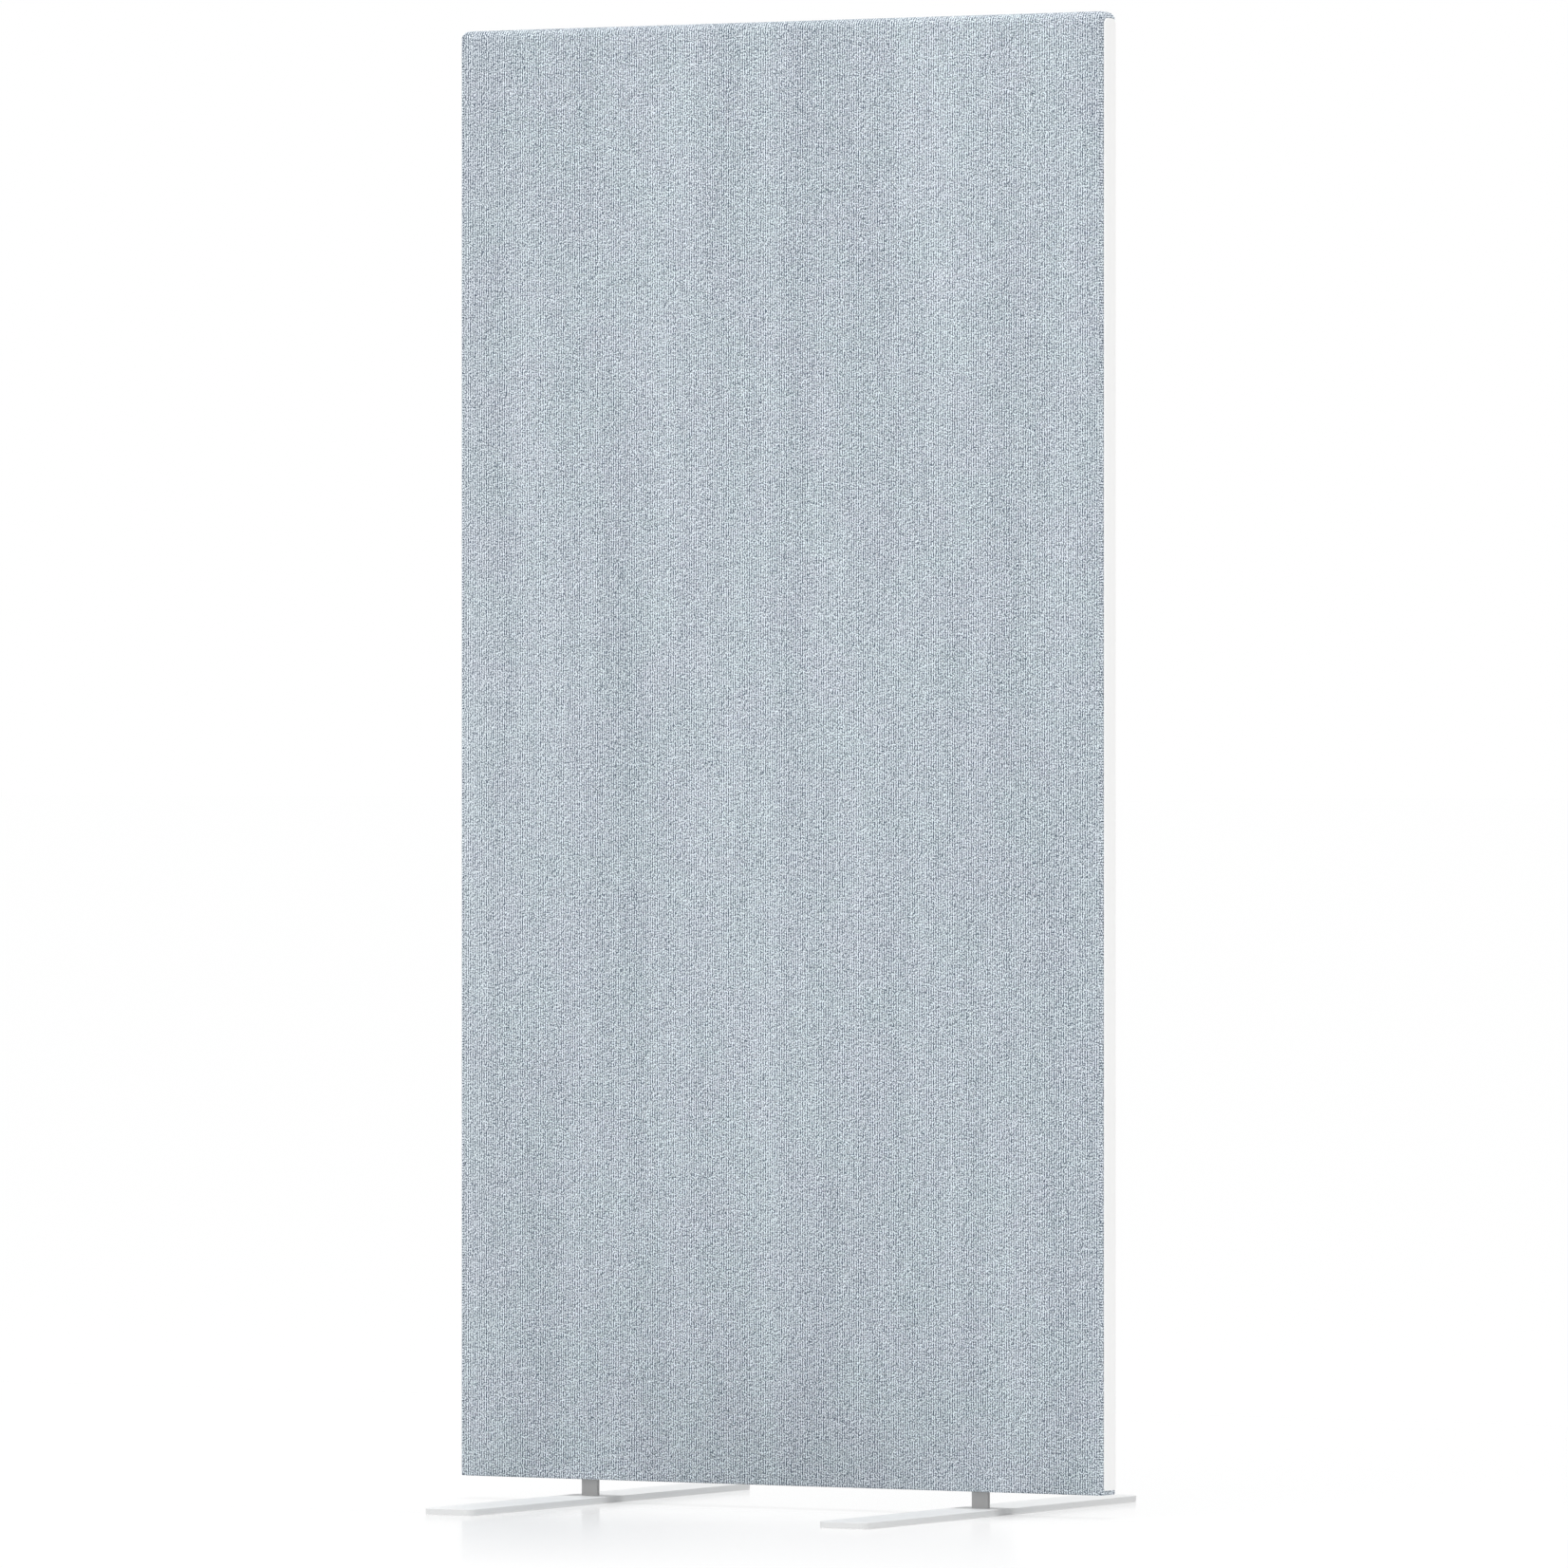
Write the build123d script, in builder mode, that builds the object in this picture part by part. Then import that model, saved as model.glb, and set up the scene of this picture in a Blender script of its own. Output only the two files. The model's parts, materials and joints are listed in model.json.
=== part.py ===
"""Office floor screen: an upholstered sound-absorbing panel on two steel feet that plug in from below.

Millimetres. The origin is on the floor under the middle of the panel, +X runs along the panel's width,
-Y faces the front and +Z is up.
"""

from build123d import *
import os

# Whole screen
screen_height = 1600.0
screen_width = 800.0  # over both edge strips
panel_thickness = 30.0
floor_gap = 25.0  # from the floor to the panel's underside
overrun = 5.0  # how far every cutting block runs past what it cuts

# Roundings of the upholstered panel
top_round = 9.5  # long top edges, front and back
corner_round = 7.5  # top corners, seen from the front
side_round = 3.0  # upright edges
bottom_round = 2.5  # edges and corners at the underside

# Cover and wadding
fabric_thickness = 1.0
wadding_thickness = 3.5

# Timber frame
stile_width = 45.0
rail_height = 45.0  # top and middle rail
middle_rail_share = 0.54  # height of the middle rail's centre, as a share of the panel's height
timber_over_socket = 26.0
infill_clearance = 0.3

# Dowels in the frame's joints
dowel_diameter = 8.0
dowel_length = 40.0
dowel_clearance = 0.05
dowel_end_room = 1.0
dowel_chamfer = 0.8
dowel_edge_distance = 11.0  # from a rail's edge to the nearest dowel's centre

# Edge strips, a flat flange with a barbed stem in a kerf
strip_thickness = 1.5
strip_top_round = 7.0
strip_bottom_round = 2.5
strip_bottom_gap = 5.3  # from the panel's underside to the strip's lower end
strip_arris = 0.6
stem_thickness = 2.0
stem_depth = 9.5
stem_end_gap = 14.0  # from the strip's ends to the stem's ends
kerf_width = 3.2
kerf_end_room = 2.0
barb_count = 3
barb_pitch = 2.4
barb_height_share = 0.7  # a barb's length along the stem, as a share of its pitch

# Feet
foot_end_distance = 157.5  # from the screen's ends to the posts' centres
plate_length = 600.0
plate_width = 60.0
plate_thickness = 6.0
plate_corner_round = 10.0
plate_arris = 0.5
pad_thickness = 1.0
pad_setback = 0.5
post_width = 20.0
post_thickness = 5.0
post_arris = 0.8
post_tip_chamfer = 0.6

# Sockets in the bottom rail
socket_depth = 100.0
socket_play = 0.08  # all round the post
socket_wall = 1.5
socket_cap = 2.0
socket_flange_length = 66.0
socket_flange_width = 20.0
socket_flange_thickness = 2.5
socket_flange_round = 4.0
socket_clearance = 0.1  # between the socket and the timber or cloth round it

# Socket screws
screw_spacing = 48.0
screw_diameter = 4.0
screw_length = 30.0
screw_head_diameter = 7.6
screw_head_height = 2.2
screw_tip_length = 5.0
screw_clearance = 0.05
screw_drive_width = 1.0
screw_drive_length = 4.6
screw_drive_depth = 1.1

# Staples under the bottom rail
staple_count = 15
staple_crown = 10.0
staple_leg = 9.0
staple_wire = 0.8
staple_end_distance = 30.0
staple_setback = 5.5  # from the panel's middle plane to the row of staples

# Places worked out from the sizes
cover_width = screen_width - 2 * strip_thickness
panel_height = screen_height - floor_gap
panel_middle = floor_gap + panel_height / 2
frame_thickness = panel_thickness - 2 * (fabric_thickness + wadding_thickness)
frame_width = cover_width - 2 * fabric_thickness
frame_bottom = floor_gap + fabric_thickness
frame_top = screen_height - fabric_thickness
rail_length = frame_width - 2 * stile_width
bottom_rail_height = socket_depth + socket_cap + timber_over_socket
bottom_rail_top = frame_bottom + bottom_rail_height
middle_rail_middle = floor_gap + middle_rail_share * panel_height
top_rail_bottom = frame_top - rail_height
strip_width = panel_thickness - 2 * side_round
strip_bottom = floor_gap + strip_bottom_gap
strip_top = screen_height - corner_round
strip_length = strip_top - strip_bottom
stem_bottom = strip_bottom + stem_end_gap
stem_length = strip_length - 2 * stem_end_gap
barb_length = barb_height_share * barb_pitch
kerf_depth = fabric_thickness + stem_depth + kerf_end_room
plate_bottom = pad_thickness
post_top = floor_gap + socket_depth
foot_spacing = screen_width - 2 * foot_end_distance
sleeve_width = post_width + 2 * (socket_play + socket_wall)
sleeve_thickness = post_thickness + 2 * (socket_play + socket_wall)
sides = ((-1, "left"), (1, "right"))

os.makedirs("parts", exist_ok=True)
LOW = (Align.CENTER, Align.CENTER, Align.MIN)
HIGH = (Align.CENTER, Align.CENTER, Align.MAX)


def panel_layer(inset):
    """The panel's whole volume, drawn in by inset on every side."""
    width = cover_width - 2 * inset
    thickness = panel_thickness - 2 * inset
    height = panel_height - 2 * inset
    with BuildPart() as layer:
        with BuildSketch(Plane.XZ) as front_view:
            with Locations((0, panel_middle)):
                Rectangle(width, height)
            fillet(front_view.vertices().group_by(Axis.Y)[-1], corner_round - inset)
            fillet(front_view.vertices().group_by(Axis.Y)[0], bottom_round - inset)
        extrude(amount=thickness / 2, both=True)
        with BuildSketch(Plane.YZ) as end_view:
            with Locations((0, panel_middle)):
                Rectangle(thickness, height)
            fillet(end_view.vertices().group_by(Axis.Y)[-1], top_round - inset)
            fillet(end_view.vertices().group_by(Axis.Y)[0], bottom_round - inset)
        extrude(amount=width / 2, both=True, mode=Mode.INTERSECT)
        with BuildSketch(Plane.XY) as plan_view:
            Rectangle(width, thickness)
            fillet(plan_view.vertices(), side_round - inset)
        extrude(amount=screen_height, mode=Mode.INTERSECT)
    return layer.part


def dowel_places():
    """The centre of each dowel: where the rails' ends meet the stiles, two to a joint."""
    rails = (
        (frame_bottom, bottom_rail_top),
        (middle_rail_middle - rail_height / 2, middle_rail_middle + rail_height / 2),
        (top_rail_bottom, frame_top),
    )
    return [
        (side * rail_length / 2, 0, height)
        for side, _ in sides
        for low, high in rails
        for height in (low + dowel_edge_distance, high - dowel_edge_distance)
    ]


def screw_places(foot_x):
    """The two screw centres of one socket, at the panel's underside."""
    return [(foot_x + side * screw_spacing / 2, 0, floor_gap) for side, _ in sides]


def staple_places():
    """The middle of each staple's crown, along the underside and clear of the socket flanges."""
    reach = cover_width / 2 - staple_end_distance
    step = 2 * reach / (staple_count - 1)
    row = [-reach + step * number for number in range(staple_count)]
    keep_off = (socket_flange_length + staple_crown) / 2 + staple_wire
    return [x for x in row if abs(abs(x) - foot_spacing / 2) > keep_off]


upholstered = panel_layer(0)
stuffed = panel_layer(fabric_thickness)

# Dowel bores, kerfs and socket seats, taken out of the timber further down
with BuildPart() as dowel_bores:
    with Locations(*dowel_places()):
        Cylinder(
            dowel_diameter / 2 + dowel_clearance,
            dowel_length + 2 * dowel_end_room,
            rotation=(0, 90, 0),
        )

with BuildPart() as kerfs:
    with BuildSketch(Plane.XY.offset(stem_bottom - kerf_end_room)):
        with Locations((-cover_width / 2, 0), (cover_width / 2, 0)):
            Rectangle(2 * kerf_depth, kerf_width)
    extrude(amount=stem_length + 2 * kerf_end_room)

with BuildPart() as socket_seats:
    for side, _ in sides:
        foot_x = side * foot_spacing / 2
        with BuildSketch(Plane.XY.offset(floor_gap - overrun)):
            with Locations((foot_x, 0)):
                RectangleRounded(
                    socket_flange_length + 2 * socket_clearance,
                    socket_flange_width + 2 * socket_clearance,
                    socket_flange_round + socket_clearance,
                )
        extrude(amount=overrun + socket_flange_thickness)
        with Locations((foot_x, 0, floor_gap)):
            Box(
                sleeve_width + 2 * socket_clearance,
                sleeve_thickness + 2 * socket_clearance,
                socket_depth + socket_cap + socket_clearance,
                align=LOW,
            )
        with Locations(*screw_places(foot_x)):
            Cylinder(screw_diameter / 2 + screw_clearance, screw_length + screw_clearance, align=LOW)

# Stiles
for side, name in sides:
    with BuildPart() as stile:
        with Locations((side * (frame_width - stile_width) / 2, 0, frame_bottom)):
            Box(stile_width, frame_thickness, frame_top - frame_bottom, align=LOW)
        add(stuffed, mode=Mode.INTERSECT)
        add(kerfs.part, mode=Mode.SUBTRACT)
        add(dowel_bores.part, mode=Mode.SUBTRACT)
    stile.part.label = f"{name}_stile"
    export_step(stile.part, f"parts/{stile.part.label}.step")

# Rails
with BuildPart() as top_rail:
    with Locations((0, 0, top_rail_bottom)):
        Box(rail_length, frame_thickness, rail_height, align=LOW)
    add(stuffed, mode=Mode.INTERSECT)
    add(dowel_bores.part, mode=Mode.SUBTRACT)
top_rail.part.label = "top_rail"
export_step(top_rail.part, "parts/top_rail.step")

with BuildPart() as middle_rail:
    with Locations((0, 0, middle_rail_middle)):
        Box(rail_length, frame_thickness, rail_height)
    add(dowel_bores.part, mode=Mode.SUBTRACT)
middle_rail.part.label = "middle_rail"
export_step(middle_rail.part, "parts/middle_rail.step")

with BuildPart() as bottom_rail:
    with Locations((0, 0, frame_bottom)):
        Box(rail_length, frame_thickness, bottom_rail_height, align=LOW)
    add(dowel_bores.part, mode=Mode.SUBTRACT)
    add(socket_seats.part, mode=Mode.SUBTRACT)
bottom_rail.part.label = "bottom_rail"
export_step(bottom_rail.part, "parts/bottom_rail.step")

# Dowels
with BuildPart() as frame_dowels:
    with Locations(*dowel_places()):
        Cylinder(dowel_diameter / 2, dowel_length, rotation=(0, 90, 0))
    chamfer(frame_dowels.edges().filter_by(GeomType.CIRCLE), dowel_chamfer)
frame_dowels.part.label = "frame_dowels"
export_step(frame_dowels.part, "parts/frame_dowels.step")

# Infill
infill_spans = (
    ("lower_infill", bottom_rail_top, middle_rail_middle - rail_height / 2),
    ("upper_infill", middle_rail_middle + rail_height / 2, top_rail_bottom),
)
for name, low, high in infill_spans:
    with BuildPart() as infill:
        with Locations((0, 0, low + infill_clearance)):
            Box(
                rail_length - 2 * infill_clearance,
                frame_thickness,
                high - low - 2 * infill_clearance,
                align=LOW,
            )
    infill.part.label = name
    export_step(infill.part, f"parts/{name}.step")

# Wadding, front and back, rounded off over the top with the panel
for side, name in ((-1, "front_wadding"), (1, "back_wadding")):
    with BuildPart() as wadding:
        with Locations((0, side * (frame_thickness + wadding_thickness) / 2, panel_middle)):
            Box(frame_width, wadding_thickness, panel_height)
        add(stuffed, mode=Mode.INTERSECT)
    wadding.part.label = name
    export_step(wadding.part, f"parts/{name}.step")

# Cover, open at the kerfs that take the strips' stems and at the socket flanges
with BuildPart() as fabric_cover:
    add(upholstered)
    add(stuffed, mode=Mode.SUBTRACT)
    add(kerfs.part, mode=Mode.SUBTRACT)
    add(socket_seats.part, mode=Mode.SUBTRACT)
fabric_cover.part.label = "fabric_cover"
export_step(fabric_cover.part, "parts/fabric_cover.step")

# Staples, driven up through the cloth's two overlapping edges
with BuildPart() as cover_staples:
    for x in staple_places():
        with Locations((x, staple_setback, floor_gap)):
            Box(staple_crown, staple_wire, staple_wire, align=HIGH)
        with Locations((x, staple_setback, floor_gap - staple_wire)):
            with GridLocations(staple_crown - staple_wire, 0, 2, 1):
                Box(staple_wire, staple_wire, staple_leg, align=LOW)
cover_staples.part.label = "cover_staples"
export_step(cover_staples.part, "parts/cover_staples.step")

# Edge strips
for side, name in sides:
    cover_end = side * cover_width / 2
    with BuildPart() as edge_strip:
        with BuildSketch(Plane.YZ.offset(cover_end)) as flange_outline:
            with Locations((0, (strip_bottom + strip_top) / 2)):
                Rectangle(strip_width, strip_length)
            fillet(flange_outline.vertices().group_by(Axis.Y)[-1], strip_top_round)
            fillet(flange_outline.vertices().group_by(Axis.Y)[0], strip_bottom_round)
        extrude(amount=side * strip_thickness)
        outer_face = edge_strip.faces().sort_by(Axis.X)[-1 if side > 0 else 0]
        fillet(outer_face.edges(), strip_arris)
        with BuildSketch(Plane.XY.offset(stem_bottom)):
            with Locations((cover_end - side * stem_depth / 2, 0)):
                Rectangle(stem_depth, stem_thickness)
            for number in range(barb_count):
                tip_x = cover_end - side * (stem_depth - number * barb_pitch)
                wide_x = tip_x + side * barb_length
                with BuildLine():
                    Polyline(
                        (tip_x, stem_thickness / 2),
                        (wide_x, kerf_width / 2),
                        (wide_x, -kerf_width / 2),
                        (tip_x, -stem_thickness / 2),
                        close=True,
                    )
                make_face()
        extrude(amount=stem_length)
    edge_strip.part.label = f"{name}_edge_strip"
    export_step(edge_strip.part, f"parts/{edge_strip.part.label}.step")

# Sockets, screws and feet
for side, name in sides:
    foot_x = side * foot_spacing / 2

    with BuildPart() as foot_socket:
        with BuildSketch(Plane.XY.offset(floor_gap)):
            with Locations((foot_x, 0)):
                RectangleRounded(socket_flange_length, socket_flange_width, socket_flange_round)
        extrude(amount=socket_flange_thickness)
        with Locations((foot_x, 0, floor_gap)):
            Box(sleeve_width, sleeve_thickness, socket_depth + socket_cap, align=LOW)
            Box(
                post_width + 2 * socket_play,
                post_thickness + 2 * socket_play,
                socket_depth,
                align=LOW,
                mode=Mode.SUBTRACT,
            )
        with Locations(*screw_places(foot_x)):
            Cylinder(
                screw_diameter / 2 + screw_clearance,
                socket_flange_thickness,
                align=LOW,
                mode=Mode.SUBTRACT,
            )
            Cone(
                screw_head_diameter / 2 + screw_clearance,
                screw_diameter / 2 + screw_clearance,
                screw_head_height,
                align=LOW,
                mode=Mode.SUBTRACT,
            )
    foot_socket.part.label = f"{name}_foot_socket"
    export_step(foot_socket.part, f"parts/{foot_socket.part.label}.step")

    with BuildPart() as socket_screws:
        with Locations(*screw_places(foot_x)):
            Cone(screw_head_diameter / 2, screw_diameter / 2, screw_head_height, align=LOW)
            Cylinder(screw_diameter / 2, screw_length - screw_tip_length, align=LOW)
        tips = [(x, y, z + screw_length - screw_tip_length) for x, y, z in screw_places(foot_x)]
        with Locations(*tips):
            Cone(screw_diameter / 2, 0, screw_tip_length, align=LOW)
        with Locations(*screw_places(foot_x)):
            Box(screw_drive_length, screw_drive_width, screw_drive_depth, align=LOW, mode=Mode.SUBTRACT)
            Box(screw_drive_width, screw_drive_length, screw_drive_depth, align=LOW, mode=Mode.SUBTRACT)
    socket_screws.part.label = f"{name}_socket_screws"
    export_step(socket_screws.part, f"parts/{socket_screws.part.label}.step")

    with BuildPart() as post_slot:
        with BuildSketch(Plane.XY.offset(plate_bottom)):
            with Locations((foot_x, 0)):
                RectangleRounded(post_width, post_thickness, post_arris)
        extrude(amount=plate_thickness)

    with BuildPart() as foot_plate:
        with BuildSketch(Plane.XY.offset(plate_bottom)):
            with Locations((foot_x, 0)):
                RectangleRounded(plate_width, plate_length, plate_corner_round)
        extrude(amount=plate_thickness)
        fillet(foot_plate.faces().sort_by(Axis.Z)[-1].edges(), plate_arris)
        fillet(foot_plate.faces().sort_by(Axis.Z)[0].edges(), plate_arris)
        add(post_slot.part, mode=Mode.SUBTRACT)
    foot_plate.part.label = f"{name}_foot_plate"
    export_step(foot_plate.part, f"parts/{foot_plate.part.label}.step")

    with BuildPart() as foot_post:
        with BuildSketch(Plane.XY.offset(plate_bottom)):
            with Locations((foot_x, 0)):
                RectangleRounded(post_width, post_thickness, post_arris)
        extrude(amount=post_top - plate_bottom)
        chamfer(foot_post.faces().sort_by(Axis.Z)[-1].edges(), post_tip_chamfer)
    foot_post.part.label = f"{name}_foot_post"
    export_step(foot_post.part, f"parts/{foot_post.part.label}.step")

    with BuildPart() as foot_pad:
        with BuildSketch():
            with Locations((foot_x, 0)):
                RectangleRounded(
                    plate_width - 2 * pad_setback,
                    plate_length - 2 * pad_setback,
                    plate_corner_round - pad_setback,
                )
        extrude(amount=pad_thickness)
    foot_pad.part.label = f"{name}_foot_pad"
    export_step(foot_pad.part, f"parts/{foot_pad.part.label}.step")
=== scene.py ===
"""Office floor screen: the cloth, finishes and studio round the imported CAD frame.

Metres. The origin is on the floor under the middle of the panel, +X runs along the panel's width,
-Y faces the front and +Z is up.
"""

import json
import math

import bpy
import numpy as np
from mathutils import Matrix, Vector, noise

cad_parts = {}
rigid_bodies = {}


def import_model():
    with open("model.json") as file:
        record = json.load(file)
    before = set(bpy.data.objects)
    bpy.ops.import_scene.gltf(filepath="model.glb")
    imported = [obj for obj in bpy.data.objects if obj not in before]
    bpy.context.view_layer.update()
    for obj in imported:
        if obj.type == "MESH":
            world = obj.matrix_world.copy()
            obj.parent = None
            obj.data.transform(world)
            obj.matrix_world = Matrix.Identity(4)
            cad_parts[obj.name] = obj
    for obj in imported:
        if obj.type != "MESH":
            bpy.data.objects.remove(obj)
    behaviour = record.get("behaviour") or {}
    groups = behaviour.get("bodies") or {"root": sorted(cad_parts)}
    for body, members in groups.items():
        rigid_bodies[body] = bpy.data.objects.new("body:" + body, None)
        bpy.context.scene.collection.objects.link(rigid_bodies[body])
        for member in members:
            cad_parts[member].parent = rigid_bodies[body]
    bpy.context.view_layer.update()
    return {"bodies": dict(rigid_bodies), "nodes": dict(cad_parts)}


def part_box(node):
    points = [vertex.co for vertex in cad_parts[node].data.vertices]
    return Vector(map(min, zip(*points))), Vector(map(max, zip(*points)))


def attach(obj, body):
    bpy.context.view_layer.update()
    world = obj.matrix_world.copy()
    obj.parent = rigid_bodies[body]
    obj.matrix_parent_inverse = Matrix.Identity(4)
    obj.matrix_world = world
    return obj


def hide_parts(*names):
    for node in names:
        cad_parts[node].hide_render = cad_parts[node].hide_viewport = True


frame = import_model()

bl_info = {
    "name": "Office floor screen",
    "version": (1, 0, 0),
    "blender": (4, 5, 0),
    "location": "3D Viewport > Sidebar > Floor Screen",
    "description": "Covers the screen's frame in ribbed cloth, finishes its parts and lights it",
    "category": "Object",
}

MM = 0.001
QUARTER_TURN = math.pi / 2
cover_low, cover_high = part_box("fabric_cover")
socket_low, socket_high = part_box("right_foot_socket")

# Roundings and faces of the upholstered panel, as in the CAD cover
TOP_ROUND = 9.5 * MM
CORNER_ROUND = 7.5 * MM
SIDE_ROUND = 3.0 * MM
BOTTOM_ROUND = 2.5 * MM
HALF_WIDTH = cover_high.x
HALF_THICKNESS = cover_high.y
TOP = cover_high.z
UNDERSIDE = cover_low.z
FOOT_MIDDLE = (socket_low.x + socket_high.x) / 2
SOCKET_HALF_LENGTH = (socket_high.x - socket_low.x) / 2
SOCKET_HALF_WIDTH = socket_high.y


# Sizes and colours that can be set in the sidebar


class SCREEN_PG_cloth(bpy.types.PropertyGroup):
    """The ribbed cloth"""

    rib_pitch: bpy.props.FloatProperty(
        name="Rib pitch", description="Distance between two ribs", default=2.88 * MM, unit="LENGTH"
    )
    rib_depth: bpy.props.FloatProperty(
        name="Rib depth",
        description="Height of a rib over the groove beside it",
        default=0.55 * MM,
        unit="LENGTH",
    )
    stitch_length: bpy.props.FloatProperty(
        name="Stitch length",
        description="Length of one stitch along a rib",
        default=2.87 * MM,
        unit="LENGTH",
    )
    thickness: bpy.props.FloatProperty(
        name="Thickness",
        description="Thickness of the cloth in a groove",
        default=0.4 * MM,
        unit="LENGTH",
    )
    seam_distance: bpy.props.FloatProperty(
        name="Seam distance",
        description="Distance from the cloth's ends to the seams of the side bands",
        default=4.0 * MM,
        unit="LENGTH",
    )
    seam_dip: bpy.props.FloatProperty(
        name="Seam dip",
        description="Depth of the cloth's dip at a seam",
        default=0.4 * MM,
        unit="LENGTH",
    )
    # The light yarn also stands for painted light on the crests, and the dark yarn for painted
    # shade in the grooves
    light_yarn_and_crest_light: bpy.props.FloatVectorProperty(
        name="Light yarn",
        description="Colour of the crests",
        default=(0.87, 0.945, 1.0),
        subtype="COLOR",
    )
    dark_yarn_and_groove_shade: bpy.props.FloatVectorProperty(
        name="Dark yarn",
        description="Colour of the grooves",
        default=(0.066, 0.092, 0.130),
        subtype="COLOR",
    )


class SCREEN_PG_parts(bpy.types.PropertyGroup):
    """The hard parts and what is inside the panel"""

    strip_white: bpy.props.FloatVectorProperty(
        name="Edge strips",
        description="Colour of the moulded strips",
        default=(0.91, 0.91, 0.905),
        subtype="COLOR",
    )
    foot_paint: bpy.props.FloatVectorProperty(
        name="Foot paint",
        description="Colour of the plates' coat",
        default=(0.69, 0.695, 0.695),
        subtype="COLOR",
    )
    # Painted shade: the posts' coat is darker than the plates' to stand for the shade that falls
    # on them under the panel
    post_paint_with_shade: bpy.props.FloatVectorProperty(
        name="Post paint",
        description="Colour of the posts' coat",
        default=(0.41, 0.41, 0.41),
        subtype="COLOR",
    )
    pad_rubber: bpy.props.FloatVectorProperty(
        name="Pad rubber",
        description="Colour of the foot pads",
        default=(0.86, 0.86, 0.86),
        subtype="COLOR",
    )
    timber: bpy.props.FloatVectorProperty(
        name="Timber",
        description="Colour of the frame's softwood",
        default=(0.62, 0.46, 0.29),
        subtype="COLOR",
    )
    beech: bpy.props.FloatVectorProperty(
        name="Beech",
        description="Colour of the dowels",
        default=(0.64, 0.45, 0.27),
        subtype="COLOR",
    )
    felt: bpy.props.FloatVectorProperty(
        name="Felt",
        description="Colour of the sound-absorbing infill",
        default=(0.30, 0.30, 0.31),
        subtype="COLOR",
    )
    fleece: bpy.props.FloatVectorProperty(
        name="Wadding",
        description="Colour of the wadding",
        default=(0.85, 0.85, 0.83),
        subtype="COLOR",
    )
    zinc: bpy.props.FloatVectorProperty(
        name="Zinc",
        description="Colour of the plated steel",
        default=(0.62, 0.63, 0.64),
        subtype="COLOR",
    )


class SCREEN_PG_stage(bpy.types.PropertyGroup):
    """The floor, lamps and camera"""

    sky_level: bpy.props.FloatProperty(
        name="Sky level", description="Brightness of the soft light from all round", default=0.74
    )
    key_level: bpy.props.FloatProperty(
        name="Key level",
        description="Power of the large lamp high in front",
        default=27.0,
        subtype="POWER",
    )
    front_level: bpy.props.FloatProperty(
        name="Front level",
        description="Power of the low lamp in front",
        default=36.0,
        subtype="POWER",
    )
    side_level: bpy.props.FloatProperty(
        name="Side level",
        description="Power of the lamp on the right",
        default=14.0,
        subtype="POWER",
    )
    overhead_level: bpy.props.FloatProperty(
        name="Overhead level",
        description="Strength of the light straight from above",
        default=1.65,
    )
    floor_colour: bpy.props.FloatVectorProperty(
        name="Floor",
        description="Colour of the floor",
        default=(0.80, 0.80, 0.80),
        subtype="COLOR",
    )
    near_floor_colour: bpy.props.FloatVectorProperty(
        name="Near floor",
        description="Colour the floor throws back round the feet",
        default=(0.46, 0.46, 0.46),
        subtype="COLOR",
    )


# Shader maths


class Field:
    """A node's output, on which Python's operators add Math nodes."""

    def __init__(self, finish, socket):
        self.finish = finish
        self.socket = socket

    def maths(self, operation, *values):
        inputs = dict(enumerate(values))
        return self.finish.node("ShaderNodeMath", {"operation": operation}, inputs)

    def __add__(self, other):
        return self.maths("ADD", self, other)

    def __sub__(self, other):
        return self.maths("SUBTRACT", self, other)

    def __mul__(self, other):
        return self.maths("MULTIPLY", self, other)

    def __truediv__(self, other):
        return self.maths("DIVIDE", self, other)

    __radd__ = __add__
    __rmul__ = __mul__

    def __rsub__(self, other):
        return self.maths("SUBTRACT", other, self)

    def __neg__(self):
        return self * -1.0

    def __abs__(self):
        return self.maths("ABSOLUTE", self)

    def __pow__(self, power):
        return self.maths("POWER", self, power)

    def floor(self):
        return self.maths("FLOOR", self)

    def fraction(self):
        return self.maths("FRACT", self)

    def least(self, other):
        """The smaller of this value and another."""
        return self.maths("MINIMUM", self, other)

    def most(self, other):
        """The larger of this value and another."""
        return self.maths("MAXIMUM", self, other)

    def held(self):
        """The value kept between 0 and 1."""
        return self.finish.node("ShaderNodeClamp", None, {"Value": self})

    def wave(self):
        """1 where the value is whole and -1 half way between, as a cosine."""
        return self.maths("COSINE", self * (2 * math.pi))

    def between(self, low, high):
        """0 up to low, 1 from high on, and smooth in between. Low may be the larger of the two."""
        return self.finish.node(
            "ShaderNodeMapRange",
            {"interpolation_type": "SMOOTHSTEP"},
            {"Value": self, "From Min": low, "From Max": high},
        )


class NodeTree:
    """The nodes of a material or of the world, emptied and made anew."""

    def __init__(self, owner, output):
        owner.use_nodes = True
        self.tree = owner.node_tree
        self.tree.nodes.clear()
        self.output = self.tree.nodes.new(output)

    def node(self, kind, settings=None, values=None, outputs=(0,)):
        """Adds a node, sets it up, feeds its sockets and gives back the outputs asked for."""
        made = self.tree.nodes.new(kind)
        for key, value in (settings or {}).items():
            setattr(made, key, value)
        for key, value in (values or {}).items():
            self.feed(self.socket_of(made, key), value)
        fields = [Field(self, made.outputs[output]) for output in outputs]
        return fields[0] if len(fields) == 1 else fields

    @staticmethod
    def socket_of(made, key):
        if isinstance(key, int):
            return made.inputs[key]
        return next(s for s in made.inputs if s.identifier == key or (s.name == key and s.enabled))

    def feed(self, socket, value):
        if isinstance(value, Field):
            self.tree.links.new(value.socket, socket)
        elif hasattr(value, "__len__") and socket.type == "RGBA" and len(value) == 3:
            socket.default_value = (*value, 1.0)
        else:
            socket.default_value = value

    def show(self, shader):
        self.feed(self.output.inputs["Surface"], shader)


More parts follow.
